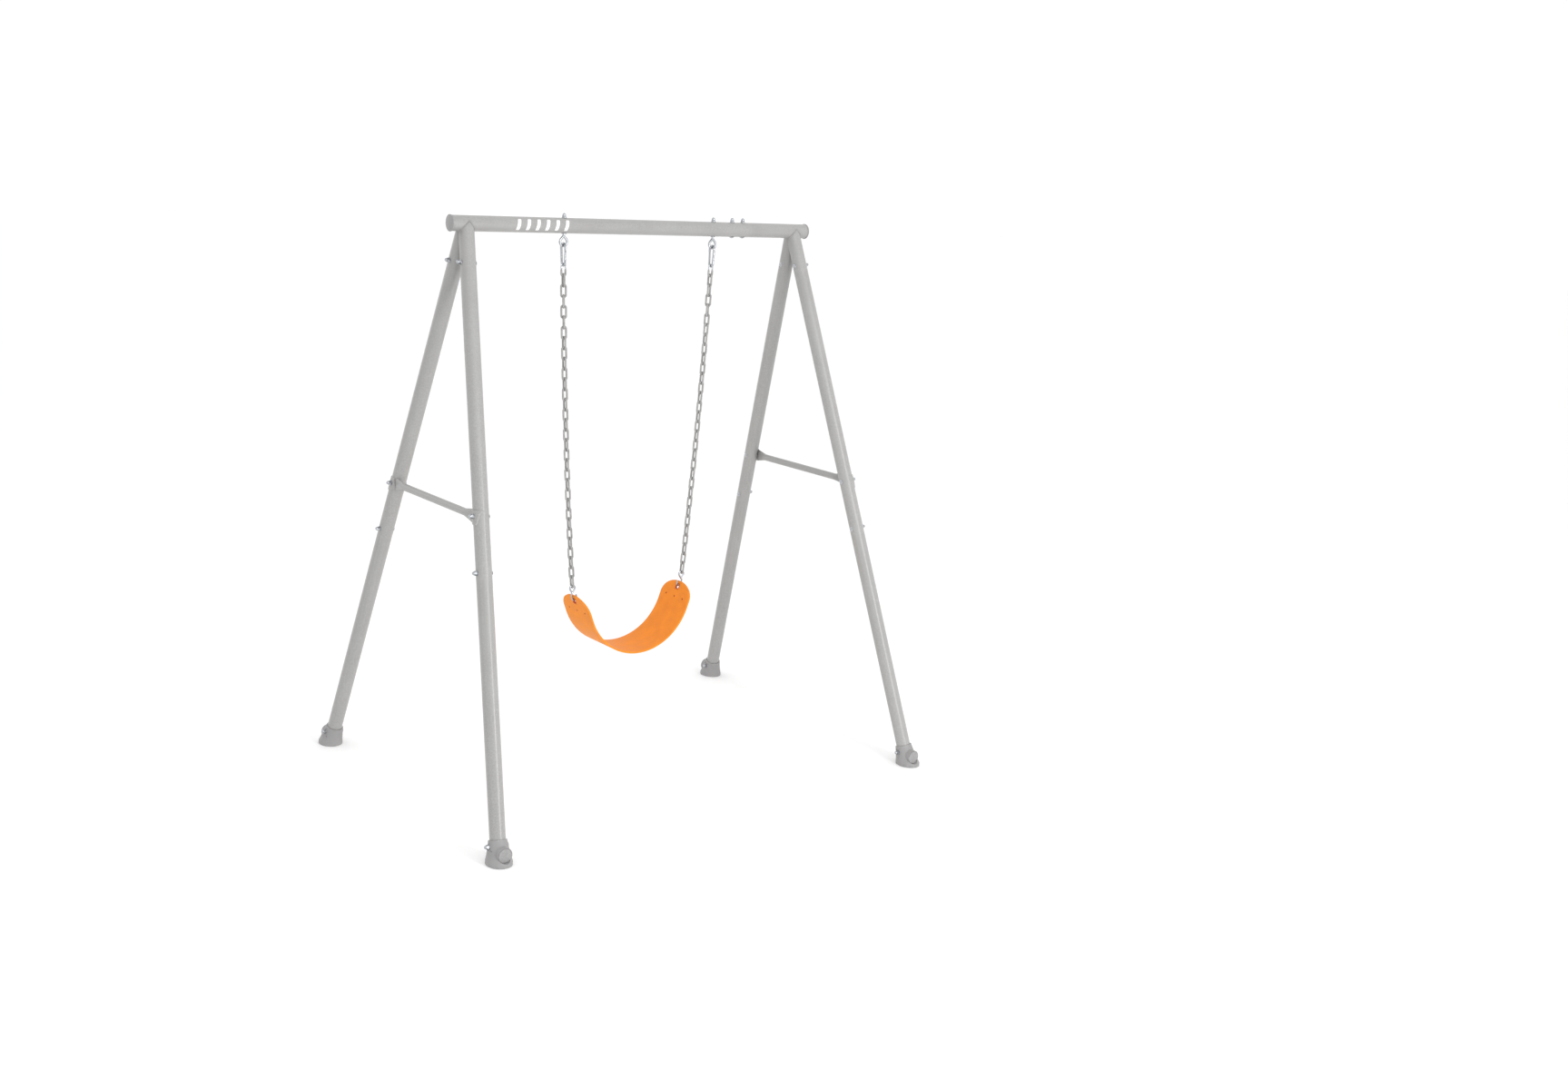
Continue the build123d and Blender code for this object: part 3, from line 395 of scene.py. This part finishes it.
def powder_coat():
    """Semi-gloss silver-grey powder coat with a light orange peel."""
    finish = Finish("tube_powder_coat", 0.34)
    grain = finish.group("Fine Grain", Grain_Scale=420.0, Patch_Scale=9.0, Speck_Scale=1900.0)
    wear = finish.group("Edge Wear", Break_Up=220.0)
    dust = finish.group("Settled Dust", Amount=0.10)
    base = colours().coat
    body = finish.mix(grain["Patches"], scaled(base, 0.97), scaled(base, 1.04))
    flecked = finish.mix(finish.math("MULTIPLY", grain["Specks"], 0.35), body, scaled(base, 1.3))
    worn = finish.mix(finish.math("MULTIPLY", wear["Mask"], 0.35), flecked, scaled(base, 1.35))
    finish.colour(finish.mix(dust["Mask"], worn, DUST_COLOUR))
    finish.roughness(finish.remap(grain["Patches"], 0.0, 1.0, 0.30, 0.38))
    finish.shader.inputs["Coat Weight"].default_value = 0.25
    finish.shader.inputs["Coat Roughness"].default_value = 0.22
    finish.bump((grain["Height"], 0.10, 0.0004), (finish.noise(1500.0, 2.0), 0.05, 0.0001))
    return finish.material


def weld_coat():
    """The same coat over the welds: rippled, a little darker in random patches."""
    finish = Finish("weld_powder_coat", 0.38)
    grain = finish.group("Fine Grain", Grain_Scale=520.0, Patch_Scale=60.0, Speck_Scale=1900.0)
    base = colours().coat
    finish.colour(finish.mix(grain["Patches"], scaled(base, 0.84), scaled(base, 1.0)))
    finish.roughness(finish.remap(grain["Patches"], 0.0, 1.0, 0.34, 0.46))
    finish.bump((grain["Height"], 0.35, 0.0006), (finish.noise(160.0, 3.0), 0.25, 0.001))
    return finish.material


def moulded_grey(name, grain_scale, roughness):
    """Grey moulded plastic with a fine spark-eroded grain and scuffed edges."""
    finish = Finish(name, roughness, specular=0.42)
    grain = finish.group("Fine Grain", Grain_Scale=grain_scale, Patch_Scale=22.0, Speck_Scale=1500.0)
    wear = finish.group("Edge Wear", Break_Up=140.0)
    dust = finish.group("Settled Dust", Amount=0.12)
    base = colours().moulding
    body = finish.mix(grain["Patches"], scaled(base, 0.95), scaled(base, 1.04))
    worn = finish.mix(finish.math("MULTIPLY", wear["Mask"], 0.5), body, scaled(base, 1.3))
    finish.colour(finish.mix(dust["Mask"], worn, DUST_COLOUR))
    finish.roughness(finish.remap(grain["Height"], 0.3, 0.7, roughness - 0.06, roughness + 0.08))
    finish.bump((grain["Height"], 0.32, 0.0005), (finish.noise(60.0, 2.0), 0.05, 0.0012))
    return finish.material


def zinc_plate():
    """Bright zinc plating with faint spangle, hairline marks and duller, darker clouds."""
    finish = Finish("bright_zinc", 0.24, metallic=1.0)
    base = colours().zinc
    cells = finish.nodes.new("ShaderNodeTexVoronoi")
    cells.inputs["Scale"].default_value = 520.0
    finish.links.new(finish.place, cells.inputs["Vector"])
    spangle = finish.remap(cells.outputs["Distance"], 0.0, 0.7, 0.0, 1.0)
    cloud = finish.remap(finish.noise(130.0, 4.0), 0.35, 0.65, 0.0, 1.0)
    tone = finish.mix(spangle, scaled(base, 1.06), scaled(base, 0.88))
    finish.colour(finish.mix(finish.math("MULTIPLY", cloud, 0.4), tone, scaled(base, 0.72)))
    finish.roughness(finish.remap(cloud, 0.0, 1.0, 0.17, 0.34))
    finish.bump((finish.noise(700.0, 3.0), 0.08, 0.0002), (finish.noise(190.0, 2.0), 0.10, 0.0004))
    return finish.material


def chain_coat():
    """Grey plastic dip over the links; the upper half of each chain's first link is bare zinc."""
    finish = Finish("dipped_chain", 0.36)
    base = colours().chain
    grain = finish.group("Fine Grain", Grain_Scale=700.0, Patch_Scale=70.0, Speck_Scale=2200.0)
    wear = finish.group("Edge Wear", Break_Up=300.0)
    body = finish.mix(grain["Patches"], scaled(base, 0.88), scaled(base, 1.14))
    rubbed = finish.mix(finish.math("MULTIPLY", wear["Mask"], 0.3), body, scaled(base, 1.5))
    split = finish.nodes.new("ShaderNodeSeparateXYZ")
    finish.links.new(finish.place, split.inputs["Vector"])
    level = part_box("chain_left_1")[1].z - BARE_LENGTH
    ragged = finish.math("MULTIPLY", finish.noise(260.0, 2.0), DIP_RAGGED)
    height = finish.math("ADD", split.outputs["Z"], ragged)
    bare = finish.math("GREATER_THAN", height, level + DIP_RAGGED / 2)
    finish.colour(finish.mix(bare, rubbed, scaled(colours().zinc, 0.95)))
    finish.metallic(bare)
    dull = finish.remap(grain["Patches"], 0.0, 1.0, 0.30, 0.44)
    finish.roughness(finish.math("MULTIPLY", dull, finish.remap(bare, 0.0, 1.0, 1.0, 0.7)))
    finish.bump((finish.noise(150.0, 2.0), 0.30, 0.0008), (grain["Height"], 0.08, 0.0002))
    return finish.material


def belt_plastic():
    """Orange moulded belt: fine matte grain, slow mottling, painted shade in holes and pin marks."""
    finish = Finish("belt_moulding", 0.56, specular=0.22)
    base = colours().belt
    grain = finish.group("Fine Grain", Grain_Scale=1100.0, Patch_Scale=26.0, Speck_Scale=1700.0)
    body = finish.mix(grain["Patches"], scaled(base, 0.94), (base[0] * 1.03, base[1] * 1.08, base[2] * 1.5))
    speckled = finish.mix(finish.math("MULTIPLY", grain["Specks"], 0.25), body, scaled(base, 0.8))
    # where the rim attribute is set, in the holes and pin marks, the colour turns to painted shade
    rim = finish.nodes.new("ShaderNodeAttribute")
    rim.attribute_name = "rim"
    finish.colour(finish.mix(rim.outputs["Fac"], speckled, HOLE_SHADE_COLOUR))
    finish.roughness(finish.remap(grain["Patches"], 0.0, 1.0, 0.46, 0.58))
    finish.bump((grain["Height"], 0.22, 0.0003), (finish.noise(75.0, 2.0), 0.10, 0.0012))
    return finish.material


def plate_steel():
    """Plain rolled plate inside the belt's ends."""
    finish = Finish("insert_plate", 0.42, metallic=1.0)
    cloud = finish.remap(finish.noise(90.0, 4.0), 0.35, 0.65, 0.0, 1.0)
    finish.colour(finish.mix(cloud, PLATE_DARK, PLATE_LIGHT))
    finish.roughness(finish.remap(cloud, 0.0, 1.0, 0.36, 0.50))
    finish.bump((finish.noise(600.0, 3.0), 0.1, 0.0002))
    return finish.material


def mark_print():
    """White printed ink, slightly thin at its grain."""
    finish = Finish("mark_ink", 0.42)
    grain = finish.group("Fine Grain", Grain_Scale=800.0, Patch_Scale=60.0, Speck_Scale=1300.0)
    base = colours().marks
    tone = finish.mix(grain["Patches"], scaled(base, 0.97), scaled(base, 1.02))
    finish.colour(finish.mix(finish.math("MULTIPLY", grain["Specks"], 0.2), tone, scaled(base, 0.8)))
    finish.roughness(finish.remap(grain["Patches"], 0.0, 1.0, 0.38, 0.48))
    finish.bump((grain["Height"], 0.1, 0.0002))
    return finish.material


def floor_paint():
    """Plain pale studio floor."""
    finish = Finish("floor_paint", 0.7, specular=0.2)
    finish.shader.inputs["Base Color"].default_value = (*colours().floor, 1.0)
    return finish.material


# --- mesh helpers ---

def finish_piece(name, bm, finish, body):
    """Turn a bmesh into a smooth-shaded piece at the origin that rides on a body."""
    mesh = bpy.data.meshes.new(name)
    bmesh.ops.recalc_face_normals(bm, faces=bm.faces)
    for face in bm.faces:
        face.smooth = True
    bm.to_mesh(mesh)
    bm.free()
    piece = bpy.data.objects.new(name, mesh)
    bpy.context.scene.collection.objects.link(piece)
    mesh.materials.append(bpy.data.materials[finish])
    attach(piece, body)
    return piece


def cut_all(bm, point, normal):
    """Score a bmesh along a plane without removing anything."""
    whole = bm.verts[:] + bm.edges[:] + bm.faces[:]
    bmesh.ops.bisect_plane(bm, geom=whole, dist=1e-6, plane_co=point, plane_no=normal)


def arc_radius():
    """Radius of the belt's arc, so that its ends reach as far out as the frame's belt does."""
    slope, half = sizes().belt_slope, sizes().belt_half_length
    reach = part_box("seat")[1].x - sizes().belt_thickness / 2 * math.sin(slope)
    return (reach - half * math.cos(slope)) / (math.sin(slope) - slope * math.cos(slope))


def hang_belt(bm):
    """Bend the flat belt: an arc in the middle, a straight at each end, its outer face below."""
    radius, slope = arc_radius(), sizes().belt_slope
    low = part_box("seat")[0].z + sizes().belt_thickness / 2
    for vert in bm.verts:
        along, across, out = vert.co.x, vert.co.y, -vert.co.z
        side = 1 if along >= 0 else -1
        turn = min(abs(along) / radius, slope)
        straight = abs(along) - radius * turn
        x = (radius + out) * math.sin(turn) + straight * math.cos(turn)
        z = low + radius - (radius + out) * math.cos(turn) + straight * math.sin(turn)
        vert.co = Vector((side * x, across, z))


def belt_outline(bm, width):
    """A flat strip with half-elliptic ends."""
    size = sizes()
    ring = bmesh.ops.create_circle(bm, cap_ends=True, segments=OUTLINE_STEPS, radius=1.0)["verts"]
    half_step = Matrix.Rotation(math.pi / OUTLINE_STEPS, 4, "Z")
    stretch = Matrix.Diagonal((size.belt_end_round, width / 2, 1, 1))
    bmesh.ops.transform(bm, matrix=stretch @ half_step, verts=ring)
    for side in SIDES.values():
        end = [v for v in ring if v.co.x * side > 0]
        bmesh.ops.translate(bm, vec=(side * (size.belt_half_length - size.belt_end_round), 0, 0), verts=end)


def open_hole(bm, x, y, radius):
    """Replace the square of faces round a point by a ring of faces with a round hole."""
    def within(point, reach):
        return max(abs(point.x - x), abs(point.y - y)) < reach * radius

    square = [f for f in bm.faces if within(f.calc_center_median(), HOLE_SCORE - SCORE_SLACK)]
    bmesh.ops.delete(bm, geom=square, context="FACES")
    rim = [e for e in bm.edges
           if e.is_boundary and all(within(v.co, HOLE_SCORE + SCORE_SLACK) for v in e.verts)]
    place = Matrix.Translation((x, y, 0)) @ Matrix.Rotation(math.pi / 4, 4, "Z")
    ring = bmesh.ops.create_circle(bm, cap_ends=False, segments=HOLE_STEPS, radius=radius, matrix=place)
    edges = list({e for v in ring["verts"] for e in v.link_edges})
    bmesh.ops.bridge_loops(bm, edges=rim + edges)


def belt_mesh():
    """The belt as one flat scored sheet with its holes, and where those are."""
    size = sizes()
    bm = bmesh.new()
    low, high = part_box("seat")
    width = high.y - low.y
    belt_outline(bm, width)
    count = math.ceil(size.belt_half_length / BELT_STEP)
    for number in range(-count + 1, count):
        cut_all(bm, (number * BELT_STEP, 0, 0), (1, 0, 0))
    hole_x = size.belt_half_length - size.hole_edge
    dot_x = size.belt_half_length - size.dot_edge
    holes = [(side * hole_x, 0, size.hole_radius) for side in SIDES.values()]
    holes += [(side * dot_x, place * size.dot_spacing, size.dot_radius)
              for side in SIDES.values() for place in (-1, 0, 1)]
    for x, y, radius in holes:
        for turn in (-1, 1):
            cut_all(bm, (x + turn * HOLE_SCORE * radius, 0, 0), (1, 0, 0))
            cut_all(bm, (0, y + turn * HOLE_SCORE * radius, 0), (0, 1, 0))
    for band in range(1 - BELT_BANDS // 2, BELT_BANDS // 2):
        cut_all(bm, (0, band * width / BELT_BANDS, 0), (0, 1, 0))
    for x, y, radius in holes:
        open_hole(bm, x, y, radius)
    return bm, holes


def thicken_belt(bm):
    """Give the flat sheet its thickness, centred on z = 0, and round every edge of it."""
    size = sizes()
    bmesh.ops.recalc_face_normals(bm, faces=bm.faces)
    bmesh.ops.solidify(bm, geom=bm.faces[:], thickness=size.belt_thickness)
    middle = sum(v.co.z for v in bm.verts) / len(bm.verts)
    bmesh.ops.translate(bm, vec=(0, 0, -middle), verts=bm.verts)
    bmesh.ops.recalc_face_normals(bm, faces=bm.faces)
    sharp = [e for e in bm.edges if len(e.link_faces) == 2 and e.calc_face_angle() > SHARP_ANGLE]
    bmesh.ops.bevel(bm, geom=sharp, offset=size.belt_edge_round, offset_type="OFFSET", affect="EDGES",
                    segments=EDGE_SEGMENTS, profile=0.5, material=-1, clamp_overlap=True)


def mark_painted_hole_shade(bm, holes):
    """Mark the points in the holes and pin marks, where the finish paints shade."""
    layer = bm.verts.layers.float.new("rim")
    beyond = HOLE_SHADE_REACH * sizes().belt_edge_round
    for vert in bm.verts:
        if any(math.hypot(vert.co.x - x, vert.co.y - y) - radius < beyond for x, y, radius in holes):
            vert[layer] = 1.0


class SWING_OT_belt(bpy.types.Operator):
    """Mould the belt seat with its holes, pin marks and rounded edges"""

    bl_idname = "swing.belt"
    bl_label = "Belt Seat"

    def execute(self, context):
        bm, holes = belt_mesh()
        thicken_belt(bm)
        mark_painted_hole_shade(bm, holes)
        hang_belt(bm)
        piece = finish_piece("belt_seat", bm, "belt_moulding", "seat")
        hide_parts("seat")
        return {"FINISHED"}


# --- weld beads ---

def sole_place(side, face):
    """Middle of a shoe's sole, where the record mounts it on the floor."""
    name = f"sole_{FACE_NAMES[face]}_{SIDE_NAMES[side]}"
    mount = next(m for m in frame["record"]["mounts"] if m["name"] == name)
    return Vector(mount["pos_m"])


def socket_axes(side, face):
    """Where a leg socket meets the beam's axis, and unit vectors along it, away and across."""
    top = Vector((side * sizes().socket_place, 0, BEAM_HEIGHT))
    down = (sole_place(side, face) - top).normalized()
    away = Vector((1, 0, 0))
    away = (away - down * away.dot(down)).normalized()
    return top, down, away, down.cross(away)


def bead_ring(bm, turn, steps):
    """A thin ring of round section and unit radius about Z, to be laid along a joint."""
    full = turn > math.pi * 1.5
    before = set(bm.verts)
    place = Matrix.Translation((1, 0, 0)) @ Matrix.Rotation(math.pi / 2, 4, "X")
    profile = bmesh.ops.create_circle(bm, cap_ends=False, segments=BEAD_SIDES,
                                      radius=sizes().weld_radius, matrix=place)["verts"]
    edges = list({edge for vert in profile for edge in vert.link_edges})
    bmesh.ops.spin(bm, geom=profile + edges, cent=(0, 0, 0), axis=(0, 0, 1), angle=turn,
                   steps=steps, use_merge=full, use_duplicate=False)
    return [vert for vert in bm.verts if vert not in before]


def lay_bead(verts, path, seed):
    """Move a ring's points onto a path of angle: its centre and the two ways across it."""
    for vert in verts:
        angle = math.atan2(vert.co.y, vert.co.x)
        ripple = 1 + RIPPLE_DEPTH * math.sin(WELD_RIPPLES * angle) + SWELL_DEPTH * math.sin(3 * angle + seed)
        out = (math.hypot(vert.co.x, vert.co.y) - 1) * ripple
        rise = vert.co.z * ripple
        centre, first, second = path(angle)
        vert.co = centre + first * out + second * rise


def beam_surface_drop(start, down):
    """How far down a line through start the beam's surface lies."""
    height = start.z - BEAM_HEIGHT
    a = down.y ** 2 + down.z ** 2
    b = start.y * down.y + height * down.z
    c = start.y ** 2 + height ** 2 - sizes().tube_radius ** 2
    return (-b + math.sqrt(max(b * b - a * c, 0.0))) / a


def socket_bead(bm, side, face):
    """The bead round one socket, along the line where its wall leaves the beam."""
    top, down, away, across = socket_axes(side, face)

    def path(angle):
        radial = away * math.cos(angle) + across * math.sin(angle)
        start = top + radial * sizes().tube_radius
        return start + down * beam_surface_drop(start, down), radial, down

    lay_bead(bead_ring(bm, 2 * math.pi, WELD_STEPS), path, side + face)


def crotch_bead(bm, side):
    """The bead in the V between a side's two sockets, which meet in a plane across the beam."""
    top, down, away, across = socket_axes(side, FACES["front"])
    radius = sizes().tube_radius
    reach = radius / abs(down.y)
    lean = down.x / -down.z

    def path(angle):
        depth = reach * math.sin(angle)
        centre = top + Vector((radius * math.cos(angle) + depth * lean, 0, -depth))
        outward = Vector((math.cos(angle), 0, -math.sin(angle)))
        return centre, outward, Vector((0, 1, 0))

    lay_bead(bead_ring(bm, math.pi, WELD_STEPS // 2), path, side)


class SWING_OT_welds(bpy.types.Operator):
    """Lay the weld beads where the leg sockets meet the beam and each other"""

    bl_idname = "swing.welds"
    bl_label = "Weld Beads"

    def execute(self, context):
        for name, side in SIDES.items():
            bm = bmesh.new()
            for face in FACES.values():
                socket_bead(bm, side, face)
            crotch_bead(bm, side)
            finish_piece(f"weld_beads_{name}", bm, "weld_powder_coat", "frame")
        return {"FINISHED"}


# --- printed marks on the beam ---

class SWING_OT_marks(bpy.types.Operator):
    """Print a row of plain slanted bars on the front of the beam"""

    bl_idname = "swing.marks"
    bl_label = "Beam Marks"

    def execute(self, context):
        bm = bmesh.new()
        for number in range(MARK_COUNT):
            middle = MARK_START + number * MARK_SPACING
            stretch = Matrix.Diagonal((MARK_WIDTH, sizes().mark_height, 1, 1))
            place = Matrix.Translation((middle, 0, 0)) @ stretch
            before = set(bm.verts)
            bmesh.ops.create_grid(bm, x_segments=1, y_segments=1, size=0.5, matrix=place)
            corners = [v for v in bm.verts if v not in before]
            bmesh.ops.bevel(bm, geom=corners, offset=MARK_WIDTH / 4, offset_type="OFFSET",
                            affect="VERTICES", segments=CORNER_SEGMENTS, profile=0.5, material=-1)
        for band in range(1 - MARK_BANDS // 2, MARK_BANDS // 2):
            cut_all(bm, (0, band * sizes().mark_height / MARK_BANDS, 0), (0, 1, 0))
        radius = sizes().tube_radius + MARK_PROUD
        for vert in bm.verts:
            turn = vert.co.y / radius + MARK_TURN
            slant = vert.co.x + vert.co.y * MARK_SLANT
            vert.co = Vector((slant, -radius * math.cos(turn), BEAM_HEIGHT + radius * math.sin(turn)))
        piece = finish_piece("beam_marks", bm, "mark_ink", "frame")
        thickness = piece.modifiers.new("Print Thickness", "SOLIDIFY")
        thickness.thickness = MARK_PROUD / 2
        thickness.offset = 0
        return {"FINISHED"}


# --- finishes on the frame's own pieces ---

class SWING_OT_finishes(bpy.types.Operator):
    """Make every finish and put the right one on each piece of the frame"""

    bl_idname = "swing.finishes"
    bl_label = "Finishes"

    def execute(self, context):
        make_grain_group()
        make_wear_group()
        make_dust_group()
        for make in (powder_coat, weld_coat, zinc_plate, chain_coat, belt_plastic, plate_steel, mark_print):
            make()
        moulded_grey("cap_moulding", 650.0, 0.42)
        moulded_grey("shoe_moulding", 480.0, 0.52)
        for name, node in frame["nodes"].items():
            finish = [f for f, parts in FINISH_OF.items() if any(part in name for part in parts)][-1]
            for holder in node.material_slots:
                holder.material = bpy.data.materials[finish]
        return {"FINISHED"}


# --- stage ---

def soft_light(name, place, width, height, power):
    """A rectangular studio light that points at the middle of the frame."""
    lamp = bpy.data.lights.new(name, "AREA")
    lamp.shape = "RECTANGLE"
    lamp.size = width
    lamp.size_y = height
    lamp.energy = power
    light = bpy.data.objects.new(name, lamp)
    bpy.context.scene.collection.objects.link(light)
    light.location = place
    light.rotation_euler = (Vector(LIGHT_TARGET) - Vector(place)).to_track_quat("-Z", "Y").to_euler()


class SWING_OT_stage(bpy.types.Operator):
    """Lay the pale floor and set the studio light and the camera"""

    bl_idname = "swing.stage"
    bl_label = "Stage"

    def execute(self, context):
        scene = context.scene
        bm = bmesh.new()
        bmesh.ops.create_grid(bm, x_segments=2, y_segments=2, size=FLOOR_REACH)
        bmesh.ops.translate(bm, vec=(0, 0, -FLOOR_GAP), verts=bm.verts)
        mesh = bpy.data.meshes.new("studio_floor")
        bm.to_mesh(mesh)
        bm.free()
        mesh.materials.append(floor_paint())
        floor = bpy.data.objects.new("studio_floor", mesh)
        scene.collection.objects.link(floor)
        world = bpy.data.worlds.new("studio_air")
        world.use_nodes = True
        background = world.node_tree.nodes["Background"]
        background.inputs["Color"].default_value = AIR_COLOUR
        background.inputs["Strength"].default_value = AIR_STRENGTH
        scene.world = world
        scene.view_settings.view_transform = "Standard"
        for light in LIGHTS:
            soft_light(*light)
        lens = bpy.data.cameras.new("camera")
        lens.lens = CAMERA_LENS
        lens.sensor_width = CAMERA_SENSOR
        camera = bpy.data.objects.new("camera", lens)
        scene.collection.objects.link(camera)
        turn = (Matrix.Rotation(-CAMERA_YAW, 4, "Z")
                @ Matrix.Rotation(math.pi / 2 - CAMERA_PITCH, 4, "X")
                @ Matrix.Rotation(CAMERA_ROLL, 4, "Z"))
        camera.matrix_world = Matrix.Translation(CAMERA_PLACE) @ turn
        scene.camera = camera
        return {"FINISHED"}


# --- sidebar and registration ---

class SWING_PT_panel(bpy.types.Panel):
    """Lists the swing's sizes, colours and building steps"""

    bl_idname = "SWING_PT_panel"
    bl_label = "Belt Swing"
    bl_space_type = "VIEW_3D"
    bl_region_type = "UI"
    bl_category = "Swing"

    def draw(self, context):
        for operator in OPERATORS:
            self.layout.operator(operator.bl_idname)
        for group in (context.scene.swing_sizes, context.scene.swing_colours):
            for name in group.__annotations__:
                self.layout.prop(group, name)


OPERATORS = (SWING_OT_stage, SWING_OT_finishes, SWING_OT_belt, SWING_OT_welds, SWING_OT_marks)
CLASSES = (SwingSizes, SwingColours, *OPERATORS, SWING_PT_panel)


def register():
    for cls in CLASSES:
        bpy.utils.register_class(cls)
    bpy.types.Scene.swing_sizes = bpy.props.PointerProperty(type=SwingSizes)
    bpy.types.Scene.swing_colours = bpy.props.PointerProperty(type=SwingColours)


def unregister():
    del bpy.types.Scene.swing_colours
    del bpy.types.Scene.swing_sizes
    for cls in reversed(CLASSES):
        bpy.utils.unregister_class(cls)


def main():
    register()
    bpy.ops.swing.stage()
    bpy.ops.swing.finishes()
    bpy.ops.swing.belt()
    bpy.ops.swing.welds()
    bpy.ops.swing.marks()


if __name__ == "__main__":
    main()
